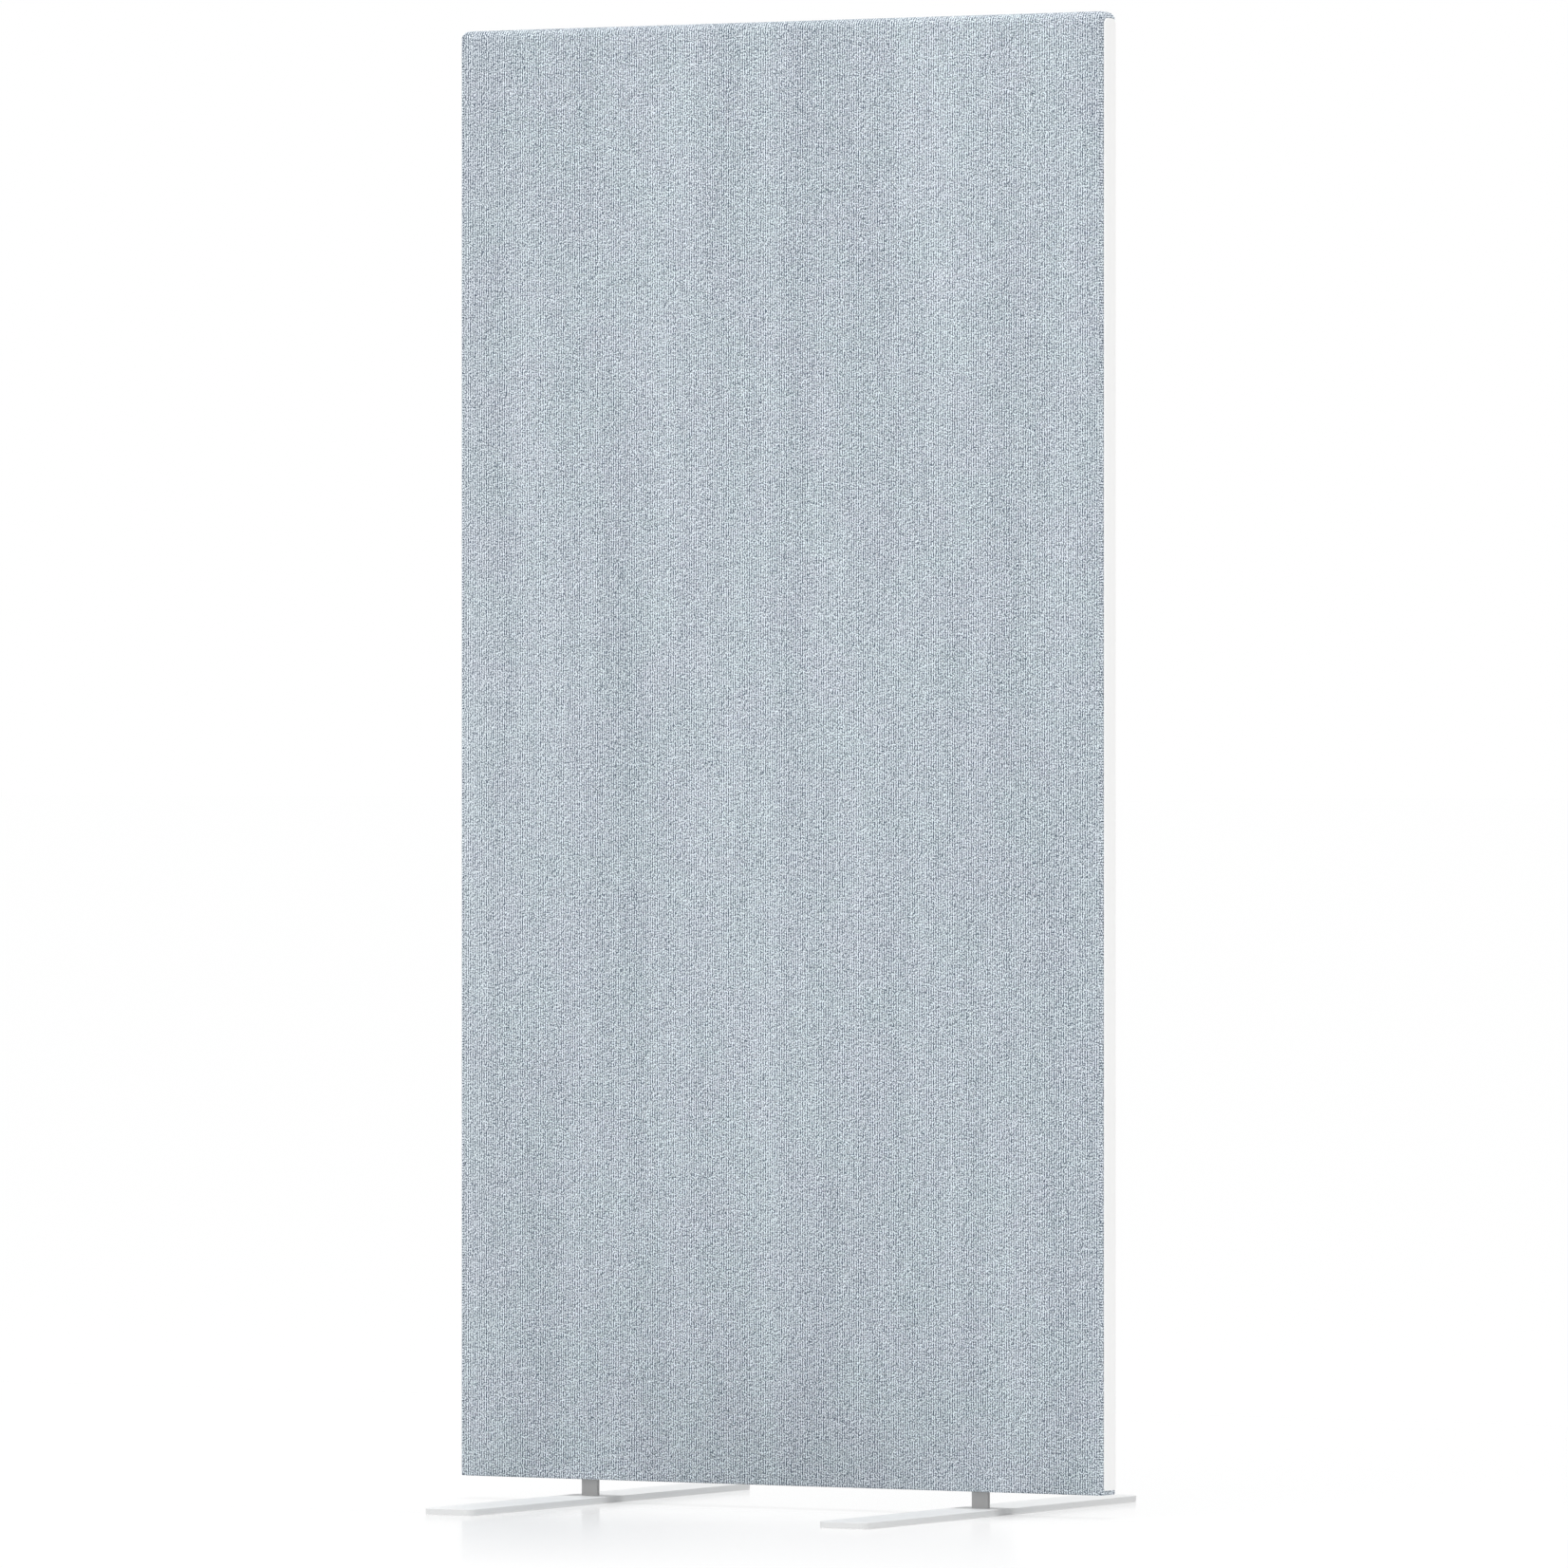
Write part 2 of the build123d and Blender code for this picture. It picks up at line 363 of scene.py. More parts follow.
class Finish(NodeTree):
    """One material, with the patterns and the principled shader that the pieces share."""

    def __init__(self, name):
        self.material = bpy.data.materials.new(name)
        super().__init__(self.material, "ShaderNodeOutputMaterial")

    def mixed(self, share, first, second, blend="MIX"):
        """A colour between two, by a share from 0 to 1."""
        return self.node(
            "ShaderNodeMix",
            {"data_type": "RGBA", "blend_type": blend},
            {"Factor_Float": share, "A_Color": first, "B_Color": second},
            outputs=(2,),
        )

    def place(self, scale=(1, 1, 1), turn=(0, 0, 0)):
        """The piece's own coordinates in metres, scaled and turned."""
        here = self.node("ShaderNodeTexCoord", outputs=("Object",))
        values = {"Vector": here, "Scale": scale, "Rotation": turn}
        return self.node("ShaderNodeMapping", {"vector_type": "POINT"}, values)

    def noise(self, vector, scale, detail=2.0, roughness=0.5, **settings):
        values = {"Vector": vector, "Scale": scale, "Detail": detail, "Roughness": roughness}
        return self.node("ShaderNodeTexNoise", settings, values)

    def speckle(self, x, y, outputs=("Value",)):
        """A random value, or colour, of its own for each pair of whole numbers."""
        cell = self.node("ShaderNodeCombineXYZ", None, {"X": x, "Y": y})
        settings = {"noise_dimensions": "2D"}
        return self.node("ShaderNodeTexWhiteNoise", settings, {"Vector": cell}, outputs=outputs)

    def diffuse(self, colour):
        return self.node("ShaderNodeBsdfDiffuse", None, {"Color": colour}, outputs=("BSDF",))

    def mixed_shader(self, share, first, second):
        values = {0: share, 1: first, 2: second}
        return self.node("ShaderNodeMixShader", None, values, outputs=("Shader",))

    def bump(self, height, distance, strength=1.0):
        values = {"Height": height, "Distance": distance, "Strength": strength}
        return self.node("ShaderNodeBump", None, values)

    def principled(self, **sockets):
        """Shows the principled shader, given its sockets' names with _ for a space."""
        values = {name.replace("_", " "): value for name, value in sockets.items()}
        self.show(self.node("ShaderNodeBsdfPrincipled", None, values, outputs=("BSDF",)))
        return self.material


# Finishes

# What the share of light yarn is made of, from 0 for all dark to 1 for all light; it also holds
# painted shade, grooves darker and crests lighter
YARN_SHARE = 0.437
RIDGE_SHADE_WEIGHT, DASH_WEIGHT = 0.92, 3.1
BEAD_SHADE_WEIGHT, LEG_WEIGHT = 0.12, 1.0
FIBRE_WEIGHT, NEIGHBOUR_WEIGHT = 0.75, 0.6
STREAK_WEIGHT, CLOUD_WEIGHT = 0.36, 0.06

STITCH_LEAN = 0.45  # how far a stitch falls from the crest to the groove, in stitches
STRANDS = 3.0  # across a rib, and along a stitch
DASHES = 3.5  # along a stitch
STREAKS_ACROSS, STREAKS_ALONG = 12.0, 0.9  # to a metre
CLOUDS, TINTS = 26.0, 14.0  # to a metre
HUE_SHARE = 0.015  # of each stitch's own hue
ROSY_TINT, GREEN_TINT = (1.0, 0.986, 1.0), (0.984, 1.0, 0.994)


def knit_finish(name, groove_shade):
    """Ribbed marl knit with painted shade, its grooves darker and crests lighter by a share of up
    to 1 given as the second argument, broken by random dashes of light and dark yarn.

    The cloth map gives metres across the ribs and along them.
    """
    cloth = bpy.context.scene.screen_cloth
    finish = Finish(name)
    chart = finish.node("ShaderNodeUVMap", {"uv_map": "cloth"})
    across, along = finish.node("ShaderNodeSeparateXYZ", None, {0: chart}, outputs=("X", "Y"))
    ribs = across / cloth.rib_pitch
    rib = ribs.floor()
    from_crest = abs(ribs.fraction() - 0.5) * 2.0

    # Stitches lean up to the crest from both sides, like the legs of a V
    stitches = along / cloth.stitch_length + from_crest * STITCH_LEAN + rib * 0.5
    stitch = stitches.floor()
    in_stitch = stitches.fraction()
    own, hue = finish.speckle(rib, stitch, outputs=("Value", "Color"))

    # Marl: short lengths of light and dark fibre along the yarn
    strand, piece_of_strand = (ribs * STRANDS).floor(), (stitches * STRANDS).floor()
    fibres = finish.speckle(strand, piece_of_strand)
    beside = finish.speckle(strand + 1.0, piece_of_strand)
    leg = finish.speckle((ribs * 2.0).floor(), stitch)
    dash = finish.speckle(rib, (stitches * DASHES).floor())
    drawn_out = {"X": across * STREAKS_ACROSS, "Y": along * STREAKS_ALONG}
    long_way = finish.node("ShaderNodeCombineXYZ", None, drawn_out)
    streaks = finish.noise(long_way, 1.0, 4.0, 0.65, noise_dimensions="2D")
    clouds = finish.noise(chart, CLOUDS, 3.0, 0.55, noise_dimensions="2D")
    drift = finish.noise(chart, TINTS, 2.0, 0.5, noise_dimensions="2D")

    crest = 1.0 - from_crest
    round_stitch = 1.0 - abs(in_stitch * 2.0 - 1.0) ** 2.0
    # Painted shade: grooves darker and crests lighter, broken by random dashes of light and dark
    # yarn
    ridge_shade = crest.between(0.15, 0.85) - 0.5
    # Painted shade: each stitch a little lighter in its middle and darker at its ends, mostly
    # outweighed by random light and dark legs
    bead_shade = -in_stitch.wave()
    share = (
        YARN_SHARE
        + ridge_shade * (RIDGE_SHADE_WEIGHT + (dash - 0.5) * DASH_WEIGHT) * groove_shade
        + bead_shade * (BEAD_SHADE_WEIGHT + (leg - 0.5) * LEG_WEIGHT)
        + (fibres - 0.5) * FIBRE_WEIGHT
        + (fibres - beside) * NEIGHBOUR_WEIGHT
        + (streaks - 0.5) * STREAK_WEIGHT
        + (clouds - 0.5) * CLOUD_WEIGHT
    )
    # The yarn colour carries the painted shade of the grooves and the painted light of the crests
    yarn = finish.mixed(share.held(), cloth.dark_yarn_and_groove_shade[:], cloth.light_yarn_and_crest_light[:])
    yarn = finish.mixed(HUE_SHARE, yarn, hue, blend="OVERLAY")
    tint = finish.mixed(drift.between(0.3, 0.7), ROSY_TINT, GREEN_TINT)
    yarn = finish.mixed(1.0, yarn, tint, blend="MULTIPLY")
    height = crest.between(0.0, 1.0) * 0.5 + round_stitch * 0.5
    return finish.principled(
        Base_Color=yarn,
        Roughness=0.82 + (own - 0.5) * 0.16,
        Specular_IOR_Level=0.25,
        Sheen_Weight=0.08,
        Sheen_Roughness=0.5,
        Normal=finish.bump(height, 0.25 * MM, 0.6),
    )


def moulded_finish(name):
    """White moulded plastic with a fine satin skin."""
    parts = bpy.context.scene.screen_parts
    finish = Finish(name)
    here = finish.place()
    grain = finish.noise(here, 1800.0, 2.0)
    drift = finish.noise(here, 9.0, 3.0)
    colour = finish.mixed(drift * 0.05, parts.strip_white[:], (0.80, 0.80, 0.78))
    return finish.principled(
        Base_Color=colour,
        Roughness=0.42 + (grain - 0.5) * 0.12 + (drift - 0.5) * 0.06,
        Specular_IOR_Level=0.4,
        Normal=finish.bump(grain, 0.05 * MM, 0.35),
    )


def powder_finish(name, base):
    """Powder coat: fine orange peel, faint pale flecks and slightly rubbed patches."""
    finish = Finish(name)
    here = finish.place()
    peel = finish.noise(here, 900.0, 2.0)
    flecks = finish.noise(here, 2600.0, 1.0).between(0.62, 0.72)
    rubbed = finish.noise(here, 22.0, 4.0, 0.6).between(0.55, 0.75)
    pale = tuple(1.12 * channel for channel in base)
    colour = finish.mixed(flecks * 0.4 + rubbed * 0.1, base, pale)
    return finish.principled(
        Base_Color=colour,
        Roughness=0.46 + (peel - 0.5) * 0.16 - rubbed * 0.06,
        Specular_IOR_Level=0.5,
        Normal=finish.bump(peel, 0.08 * MM, 0.5),
    )


PRESSED_WEAVE = 1.6 * MM


def rubber_finish(name):
    """Sheet rubber with a cloth-pressed face."""
    parts = bpy.context.scene.screen_parts
    finish = Finish(name)
    here = finish.place()
    x, y = finish.node("ShaderNodeSeparateXYZ", None, {0: here}, outputs=("X", "Y"))
    pressed = (x / PRESSED_WEAVE).wave() * (y / PRESSED_WEAVE).wave()
    bloom = finish.noise(here, 60.0, 4.0)
    colour = finish.mixed(bloom * 0.3, parts.pad_rubber[:], (0.78, 0.78, 0.76))
    return finish.principled(
        Base_Color=colour,
        Roughness=0.75 + (bloom - 0.5) * 0.2,
        Specular_IOR_Level=0.35,
        Normal=finish.bump(pressed, 0.1 * MM, 0.4),
    )


UPRIGHT, LEVEL = (0, QUARTER_TURN, 0), (0, 0, 0)  # turns that put a piece's length on X
SOFTWOOD_GRAIN, BEECH_GRAIN = (150.0, 700.0), (420.0, 1600.0)  # rings and pores to a metre


def timber_finish(name, base, turn, ring_scale, pore_scale):
    """Wood with rings and pores that run along the piece, which turn puts on X."""
    finish = Finish(name)
    grain_way = finish.place(scale=(0.06, 1.0, 1.0), turn=turn)
    warp = finish.noise(grain_way, 14.0, 3.0)
    x, y, z = finish.node("ShaderNodeSeparateXYZ", None, {0: grain_way}, outputs=("X", "Y", "Z"))
    rings = ((y * 0.8 + z * 1.3 + warp * 0.035) * ring_scale).wave() * 0.5 + 0.5
    pores = finish.noise(finish.place(scale=(0.03, 1.0, 1.0), turn=turn), pore_scale, 3.0, 0.7)
    late_wood, pore = (tuple(share * channel for channel in base) for share in (0.62, 0.5))
    late = finish.mixed(rings ** 2.0, base, late_wood)
    colour = finish.mixed(pores.between(0.45, 0.8) * 0.35, late, pore)
    return finish.principled(
        Base_Color=colour,
        Roughness=0.6 + (pores - 0.5) * 0.25,
        Specular_IOR_Level=0.3,
        Normal=finish.bump(pores * 0.6 + rings * 0.4, 0.15 * MM, 0.5),
    )


def fibre_finish(name, base, flock, fibre_scale):
    """Needled or carded fibres: a tangle of fine strands with paler flocks."""
    finish = Finish(name)
    here = finish.place()
    bent = finish.noise(here, fibre_scale * 0.2, 2.0)
    strands = finish.noise(here, fibre_scale, 4.0, 0.6, noise_type="RIDGED_MULTIFRACTAL")
    flocks = strands.between(0.2, 1.4) * 0.5 + bent.between(0.4, 0.8) * 0.3
    colour = finish.mixed(flocks, base, flock)
    return finish.principled(
        Base_Color=colour,
        Roughness=0.95 - bent * 0.1,
        Specular_IOR_Level=0.15,
        Normal=finish.bump(strands + bent, 0.4 * MM, 0.5),
    )


def zinc_finish(name):
    """Bright zinc plate with fine rolling lines and dull spots."""
    parts = bpy.context.scene.screen_parts
    finish = Finish(name)
    lines = finish.noise(finish.place(scale=(0.05, 1.0, 1.0)), 2400.0, 2.0)
    spots = finish.noise(finish.place(), 160.0, 4.0, 0.6)
    colour = finish.mixed(spots.between(0.45, 0.75) * 0.6, parts.zinc[:], (0.46, 0.48, 0.5))
    return finish.principled(
        Base_Color=colour,
        Metallic=1.0,
        Roughness=0.30 + (lines - 0.5) * 0.18 + spots.between(0.5, 0.8) * 0.18,
        Normal=finish.bump(lines, 0.03 * MM, 0.4),
    )


# Cloth


SEAM_BEND_HEIGHT = 5.0 * MM  # under the top, where the seams start to draw in
SEAM_REACH = 0.9 * MM  # how far from a seam its dip is felt
RIB_STEPS = (0.0, 0.22, 0.5, 0.78)  # columns of points across a rib, from one groove to the next
RIB_ROUNDNESS = 0.8  # under 1 for a rib that is fuller than a sine
STRAIGHT_STEPS = (0, 0.3, 0.7, 1)  # rows of points up the front and the back
TOP_STEPS, BOTTOM_STEPS = 9, 4  # steps round each long edge

# The cloth's two edges under the bottom rail: the front one laps over the tucked back one
FRONT_FLAP = (8.0 * MM, 6.0 * MM, 0.0, -6.0 * MM, -8.4 * MM)
BACK_FLAP, BACK_TUCK = 9.4 * MM, (8.3 * MM, 3.0 * MM)
TUCK_DEPTH = 0.95 * MM

# The ribs lie flat under an edge strip, and a little beside it and past its ends
PRESSED_DIP = 0.25 * MM
PRESSED_BESIDE, PRESSED_BEYOND = 0.2 * MM, 0.3 * MM
PRESSED_LEAN = 0.3  # the most that a pressed place leans, in radians

WELD_DISTANCE = 0.02 * MM
CLOTH_CREASE = 75.0  # degrees at which the cloth stops looking smooth


def seam_line(height):
    """Half the width between the seams at a height: straight, then drawn in at the top corners."""
    straight = HALF_WIDTH - bpy.context.scene.screen_cloth.seam_distance
    drawn_in = HALF_WIDTH - CORNER_ROUND
    start = TOP - SEAM_BEND_HEIGHT
    if height <= start:
        return straight
    rise = min(1.0, (height - start) / (TOP - start))
    return drawn_in + (straight - drawn_in) * math.sqrt(1.0 - rise * rise)


def rib_dip(distance):
    """How far the cloth lies under its crests, at a distance across the ribs from a groove."""
    cloth = bpy.context.scene.screen_cloth
    turn = (distance / cloth.rib_pitch) % 1.0
    return cloth.rib_depth * (1.0 - math.sin(math.pi * turn) ** RIB_ROUNDNESS)


def seam_dip(distance):
    """How far the cloth is drawn in, at a distance from a seam."""
    cloth = bpy.context.scene.screen_cloth
    return cloth.seam_dip * math.exp(-((distance / SEAM_REACH) ** 2))


def rib_stations(length):
    """Distances across the ribs: four to a rib, closer together at the groove."""
    cloth = bpy.context.scene.screen_cloth
    count = round(length / cloth.rib_pitch)
    steps = [number + part for number in range(count) for part in RIB_STEPS] + [count]
    return [step * length / count for step in steps]


def wrap_profile():
    """The main cloth's path round the panel, from its front flap to the back one tucked under it.

    Each row is (y, z, outward y, outward z, distance along the path).
    """
    rows = []

    def straight(points, outward):
        for y, z in points:
            rows.append((y, z, *outward))

    def arc(centre, radius, first, last, count):
        for number in range(1, count):
            angle = first + (last - first) * number / count
            outward = (math.cos(angle), math.sin(angle))
            y, z = (middle + radius * way for middle, way in zip(centre, outward))
            rows.append((y, z, *outward))

    half, low, top = HALF_THICKNESS, UNDERSIDE, TOP
    seat = SOCKET_HALF_WIDTH + 0.1 * MM
    front_low, front_high = low + BOTTOM_ROUND, top - TOP_ROUND
    spread = [front_low + (front_high - front_low) * share for share in STRAIGHT_STEPS]
    under = (*FRONT_FLAP, 0.5 * MM - seat, -seat, BOTTOM_ROUND - half)
    straight([(y, low) for y in under], (0.0, -1.0))
    front_corner = (BOTTOM_ROUND - half, front_low)
    arc(front_corner, BOTTOM_ROUND, -QUARTER_TURN, -2 * QUARTER_TURN, BOTTOM_STEPS)
    straight([(-half, z) for z in spread], (-1.0, 0.0))
    arc((TOP_ROUND - half, front_high), TOP_ROUND, 2 * QUARTER_TURN, QUARTER_TURN, TOP_STEPS)
    straight([(TOP_ROUND - half, top), (half - TOP_ROUND, top)], (0.0, 1.0))
    arc((half - TOP_ROUND, front_high), TOP_ROUND, QUARTER_TURN, 0.0, TOP_STEPS)
    straight([(half, z) for z in reversed(spread)], (1.0, 0.0))
    arc((half - BOTTOM_ROUND, front_low), BOTTOM_ROUND, 0.0, -QUARTER_TURN, BOTTOM_STEPS)
    straight([(half - BOTTOM_ROUND, low), (seat, low), (BACK_FLAP, low)], (0.0, -1.0))
    straight([(y, low + TUCK_DEPTH) for y in BACK_TUCK], (0.0, -1.0))

    distance = 0.0
    path = []
    for number, row in enumerate(rows):
        if number:
            before = rows[number - 1]
            distance += math.hypot(row[0] - before[0], row[1] - before[1])
        path.append((*row, distance))
    return path


def cloth_mesh(name, points, charts, flip, keep=None):
    """A mesh from a grid of points and the cloth's own measure at each, made thick inwards."""
    cloth = bpy.context.scene.screen_cloth
    rows, columns = points.shape[:2]
    corner = np.arange(rows * columns).reshape(rows, columns)
    order = [corner[:-1, :-1], corner[:-1, 1:], corner[1:, 1:], corner[1:, :-1]]
    faces = np.stack(order[::-1] if flip else order, axis=-1)
    faces = faces[keep] if keep is not None else faces.reshape(-1, 4)
    mesh = bpy.data.meshes.new(name)
    mesh.from_pydata(points.reshape(-1, 3).tolist(), [], faces.tolist())
    chart = mesh.uv_layers.new(name="cloth")
    measures = charts.reshape(-1, 2)[faces.reshape(-1)].astype(np.float32)
    chart.uv.foreach_set("vector", measures.reshape(-1))
    piece = bpy.data.objects.new(name, mesh)
    bpy.context.scene.collection.objects.link(piece)
    pick(piece)
    bpy.ops.object.mode_set(mode="EDIT")
    bpy.ops.mesh.select_all(action="SELECT")
    bpy.ops.mesh.remove_doubles(threshold=WELD_DISTANCE)
    bpy.ops.mesh.delete_loose()
    bpy.ops.object.mode_set(mode="OBJECT")
    wall = piece.modifiers.new("thickness", "SOLIDIFY")
    wall.thickness = cloth.thickness
    wall.offset = -1.0
    bpy.ops.object.modifier_apply(modifier=wall.name)
    bpy.ops.object.shade_smooth_by_angle(angle=math.radians(CLOTH_CREASE))
    return piece


def pick(*pieces):
    """Selects only these, with the first one active."""
    bpy.ops.object.select_all(action="DESELECT")
    for piece in pieces:
        piece.select_set(True)
    bpy.context.view_layer.objects.active = pieces[0]


def main_cloth():
    """The cloth over the front, top, back and underside, with openings at the foot sockets."""
    path = wrap_profile()
    half = HALF_WIDTH - bpy.context.scene.screen_cloth.seam_distance
    stations = rib_stations(2 * half)
    points = np.zeros((len(path), len(stations), 3))
    charts = np.zeros((len(path), len(stations), 2))
    for row, (y, z, out_y, out_z, distance) in enumerate(path):
        seam = seam_line(z)
        for column, station in enumerate(stations):
            x = max(-seam, min(seam, station - half))
            dip = rib_dip(station) + seam_dip(seam - abs(x))
            points[row, column] = (x, y - out_y * dip, z - out_z * dip)
            charts[row, column] = (x, distance)
    middles = (points[:-1, :-1] + points[1:, 1:]) / 2
    # The opening follows the socket's flange, with its rounded corners and a little room
    corner, room, above_flange = 4.0 * MM, 0.1 * MM, 1.5 * MM
    over_x = np.abs(np.abs(middles[..., 0]) - FOOT_MIDDLE) - SOCKET_HALF_LENGTH
    over_y = np.abs(middles[..., 1]) - SOCKET_HALF_WIDTH
    reach = np.hypot(np.maximum(over_x + corner, 0), np.maximum(over_y + corner, 0))
    keep = (reach > corner + room) | (middles[..., 2] > UNDERSIDE + above_flange)
    return cloth_mesh("cover_cloth", points, charts, False, keep), (2 * half, path[-1][-1])


def band_rows(stations):
    """The side band's path from the top seam, over the corner, down the side and under.

    Each row is (outer x, height, turn of the path, rounding in plan, seam x, half thickness,
    turn of the thickness).
    """
    corner_length = CORNER_ROUND * QUARTER_TURN
    side_length = TOP - CORNER_ROUND - (UNDERSIDE + BOTTOM_ROUND)
    under_length = BOTTOM_ROUND * QUARTER_TURN
    rows = []
    for distance in stations:
        if distance < corner_length:
            turn = QUARTER_TURN - distance / CORNER_ROUND
            x = HALF_WIDTH - CORNER_ROUND + CORNER_ROUND * math.cos(turn)
            z = TOP - CORNER_ROUND + CORNER_ROUND * math.sin(turn)
        elif distance < corner_length + side_length:
            turn, x, z = 0.0, HALF_WIDTH, TOP - CORNER_ROUND - (distance - corner_length)
        elif distance < corner_length + side_length + under_length:
            turn = -(distance - corner_length - side_length) / BOTTOM_ROUND
            x = HALF_WIDTH - BOTTOM_ROUND + BOTTOM_ROUND * math.cos(turn)
            z = UNDERSIDE + BOTTOM_ROUND + BOTTOM_ROUND * math.sin(turn)
        else:
            turn, z = -QUARTER_TURN, UNDERSIDE
            x = HALF_WIDTH - BOTTOM_ROUND - (distance - corner_length - side_length - under_length)
        seam = seam_line(z)
        x = max(x, seam)
        above, below = z - (TOP - TOP_ROUND), UNDERSIDE + BOTTOM_ROUND - z
        half, tilt = HALF_THICKNESS, 0.0
        if above > 0:
            tilt = math.asin(min(1.0, above / TOP_ROUND))
            half -= TOP_ROUND * (1.0 - math.cos(tilt))
        elif below > 0:
            tilt = -math.asin(min(1.0, below / BOTTOM_ROUND))
            half -= BOTTOM_ROUND * (1.0 - math.cos(tilt))
        # The upright edges are sharper near the top and the underside, and where a seam is close
        near_top, near_underside = 1.2 * (TOP - z), 0.5 * MM + (z - UNDERSIDE)
        rounding = min(SIDE_ROUND, near_top, near_underside, x - seam)
        rows.append((x, z, turn, max(0.0, rounding), seam, half, tilt))
    return rows


def band_section(x, seam, half, rounding):
    """One row of the side band, from its front seam round to the back: (x, y, turn, distance)."""
    round_steps, flat_steps = 5, 4
    section = [(seam, -half, -QUARTER_TURN)]
    for number in range(round_steps + 1):
        turn = -QUARTER_TURN * (1 - number / round_steps)
        px = x - rounding + rounding * math.cos(turn)
        py = rounding - half + rounding * math.sin(turn)
        section.append((px, py, turn))
    for number in range(1, flat_steps):
        section.append((x, (rounding - half) * (1 - 2 * number / flat_steps), 0.0))
    section += [(px, -py, -turn) for px, py, turn in reversed(section[: round_steps + 2])]
    measured, distance = [], 0.0
    for number, (px, py, turn) in enumerate(section):
        if number:
            distance += math.hypot(px - section[number - 1][0], py - section[number - 1][1])
        measured.append((px, py, turn, distance))
    middle = distance / 2
    return [(px, py, turn, along - middle) for px, py, turn, along in measured], middle


def side_band(name, side):
    """The cloth on one end of the panel: level ribs, pressed flat under the edge strip."""
    cloth = bpy.context.scene.screen_cloth
    path_length = (
        (CORNER_ROUND + BOTTOM_ROUND) * QUARTER_TURN
        + (TOP - CORNER_ROUND - UNDERSIDE - BOTTOM_ROUND)
        + (cloth.seam_distance - BOTTOM_ROUND)
    )
    stations = rib_stations(path_length)
    strip_low, strip_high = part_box(f"{name}_edge_strip")
    pressed_half = strip_high.y + PRESSED_BESIDE
    rows = band_rows(stations)
    seam = HALF_WIDTH - cloth.seam_distance
    columns = len(band_section(HALF_WIDTH, seam, HALF_THICKNESS, SIDE_ROUND)[0])
    points = np.zeros((len(rows), columns, 3))
    charts = np.zeros((len(rows), columns, 2))
    widest = 0.0
    for row, (x, z, turn, rounding, seam, half, tilt) in enumerate(rows):
        section, reach = band_section(x, seam, half, rounding)
        widest = max(widest, 2 * reach)
        under_strip = strip_low.z - PRESSED_BEYOND < z < strip_high.z + PRESSED_BEYOND
        for column, (px, py, aside, along) in enumerate(section):
            outward = math.cos(aside) * Vector((math.cos(turn), 0.0, math.sin(turn)))
            tilted = Vector((0.0, math.copysign(math.cos(tilt), py), math.sin(tilt)))
            outward += abs(math.sin(aside)) * tilted
            outward.normalize()
            pressed = under_strip and abs(py) < pressed_half and abs(aside) < PRESSED_LEAN
            dip = PRESSED_DIP if pressed else rib_dip(stations[row])
            dip += seam_dip(reach - abs(along))
            place = Vector((px, py, z)) - outward * dip
            points[row, column] = (side * place.x, place.y, place.z)
            charts[row, column] = (stations[row], along)
    return cloth_mesh(f"{name}_side_band", points, charts, side > 0), (path_length, widest)


class SCREEN_OT_cover_cloth(bpy.types.Operator):
    """Stretch the ribbed cloth over the panel"""

    bl_idname = "screen_build.cover_cloth"
    bl_label = "Cover Cloth"

    def execute(self, context):
        piece, flat = main_cloth()
        piece.data.materials.append(knit_finish("ribbed_knit", 1.0))
        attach(piece, "panel")
        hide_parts("fabric_cover")
        return {"FINISHED"}


class SCREEN_OT_side_bands(bpy.types.Operator):
    """Sew a band of the same cloth over each end of the panel"""

    bl_idname = "screen_build.side_bands"
    bl_label = "Side Bands"

    def execute(self, context):
        # The side bands carry less painted groove shade than the main cloth
        knit = knit_finish("side_band_knit", 0.75)
        for name, side in (("left", -1), ("right", 1)):
            piece, flat = side_band(name, side)
            piece.data.materials.append(knit)
            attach(piece, "panel")
            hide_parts("fabric_cover")
        return {"FINISHED"}


def dress(nodes, material):
    """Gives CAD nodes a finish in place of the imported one."""
    for name in nodes:
        piece = frame["nodes"][name]
        piece.data.materials.clear()
        piece.data.materials.append(material)


class SCREEN_OT_edge_strips(bpy.types.Operator):
    """Finish the white strips on the two ends"""

    bl_idname = "screen_build.edge_strips"
    bl_label = "Edge Strips"

    def execute(self, context):
        dress(["left_edge_strip", "right_edge_strip"], moulded_finish("moulded_white"))
        return {"FINISHED"}


class SCREEN_OT_feet(bpy.types.Operator):
    """Finish the plates, posts and pads of the two feet"""

    bl_idname = "screen_build.feet"
    bl_label = "Feet"

    def execute(self, context):
        parts = context.scene.screen_parts
        plate_coat = powder_finish("plate_coat", parts.foot_paint[:])
        # The darker post coat paints the shade under the panel
        shaded_post_coat = powder_finish("shaded_post_coat", parts.post_paint_with_shade[:])
        dress(["left_foot_plate", "right_foot_plate"], plate_coat)
        dress(["left_foot_post", "right_foot_post"], shaded_post_coat)
        dress(["left_foot_pad", "right_foot_pad"], rubber_finish("sheet_rubber"))
        return {"FINISHED"}


class SCREEN_OT_timber_frame(bpy.types.Operator):
    """Finish the timber frame and its dowels"""

    bl_idname = "screen_build.timber_frame"
    bl_label = "Timber Frame"

    def execute(self, context):
        parts = context.scene.screen_parts
        upright = timber_finish("softwood_upright", parts.timber[:], UPRIGHT, *SOFTWOOD_GRAIN)
        level = timber_finish("softwood_level", parts.timber[:], LEVEL, *SOFTWOOD_GRAIN)
        turned = timber_finish("turned_beech", parts.beech[:], LEVEL, *BEECH_GRAIN)
        dress(["left_stile", "right_stile"], upright)
        dress(["top_rail", "middle_rail", "bottom_rail"], level)
        dress(["frame_dowels"], turned)
        return {"FINISHED"}


